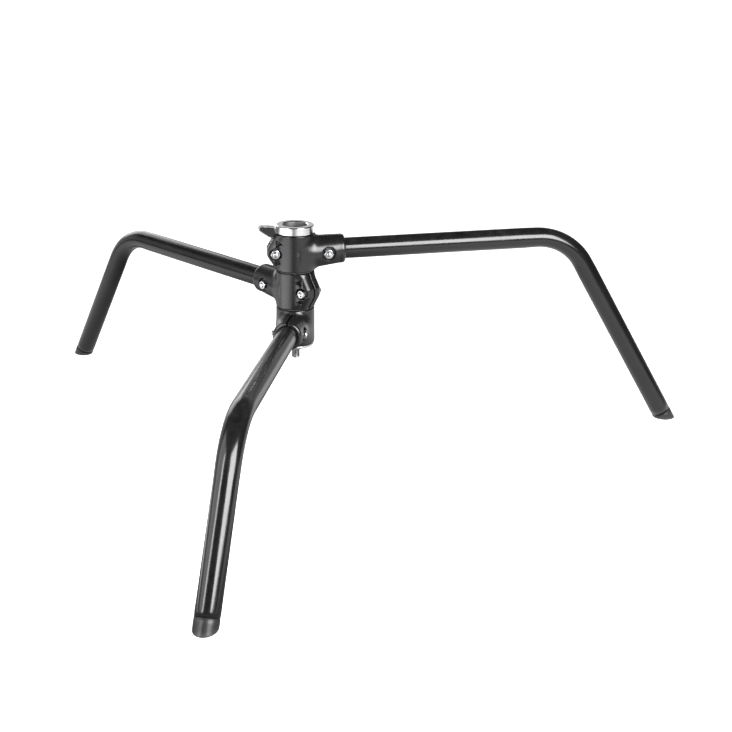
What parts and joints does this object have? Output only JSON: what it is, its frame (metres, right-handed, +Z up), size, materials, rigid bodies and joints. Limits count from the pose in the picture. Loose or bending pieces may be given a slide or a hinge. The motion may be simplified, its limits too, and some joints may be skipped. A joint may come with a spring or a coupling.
{
  "type": "light stand base",
  "caption": "Low folding base of a studio grip stand: bent tube legs in clamp collars on a central receiver that takes a removable riser.",
  "frame": {"origin": "on the receiver's axis, in the plane where the bright ring sits on the top collar, 10 mm below the receiver's mouth", "axes": "+Z up along the receiver's axis, out of its mouth; +X along the fixed top leg"},
  "size_m": [0.7982, 0.8156, 0.2766],
  "materials": {
    "leg_paint": "gloss black paint",
    "collar_coat": "satin black coat on a casting",
    "cap_rubber": "matt dark grey",
    "zinc": "bright zinc plate",
    "bright_steel": "turned steel",
    "polished_steel": "bright turned ring",
    "washer_nylon": "matt black",
    "black_steel": "blackened",
    "lever_black": "semi-gloss black"
  },
  "bodies": {
    "base_hub": {"collar_top": "collar_coat", "leg_top": "leg_paint", "foot_cap_top": "cap_rubber", "lug_bolt_top": "zinc", "lug_nut_top": "zinc", "socket_bolt_top": "zinc", "socket_nut_top": "zinc", "central_sleeve": "bright_steel", "top_ring": "polished_steel", "sleeve_plug": "bright_steel", "retaining_disc": "polished_steel", "central_rod": "zinc", "central_washer": "zinc", "central_nut": "zinc", "friction_washer_upper": "washer_nylon", "friction_washer_middle": "washer_nylon", "friction_washer_lower": "washer_nylon", "stop_pin_upper": "bright_steel", "stop_pin_lower": "bright_steel", "set_screw": "black_steel", "lever_pin": "bright_steel", "lever_spring": "bright_steel"},
    "middle_leg": {"collar_middle": "collar_coat", "leg_middle": "leg_paint", "foot_cap_middle": "cap_rubber", "lug_bolt_middle": "zinc", "lug_nut_middle": "zinc", "socket_bolt_middle": "zinc", "socket_nut_middle": "zinc"},
    "bottom_leg": {"collar_bottom": "collar_coat", "leg_bottom": "leg_paint", "foot_cap_bottom": "cap_rubber", "lug_bolt_bottom": "zinc", "lug_nut_bottom": "zinc", "socket_bolt_bottom": "zinc", "socket_nut_bottom": "zinc"},
    "lever": {"riser_lever": "lever_black"}
  },
  "joints": [
    {"name": "middle_leg_swing", "type": "hinge", "parent": "base_hub", "child": "middle_leg", "pos_m": [0, 0, -0.0677], "axis": [0, 0, 1], "range_deg": [-122, 0]},
    {"name": "bottom_leg_swing", "type": "hinge", "parent": "base_hub", "child": "bottom_leg", "pos_m": [0, 0, -0.1131], "axis": [0, 0, 1], "range_deg": [-17, 103]},
    {"name": "lever_press", "type": "hinge", "parent": "base_hub", "child": "lever", "pos_m": [-0.0202, 0, -0.0075], "axis": [0, -1, 0], "range_deg": [0, 14], "stiffness_Nm_per_rad": 0.3, "springref_deg": -11.46, "deforming": ["lever_spring"]}
  ]
}
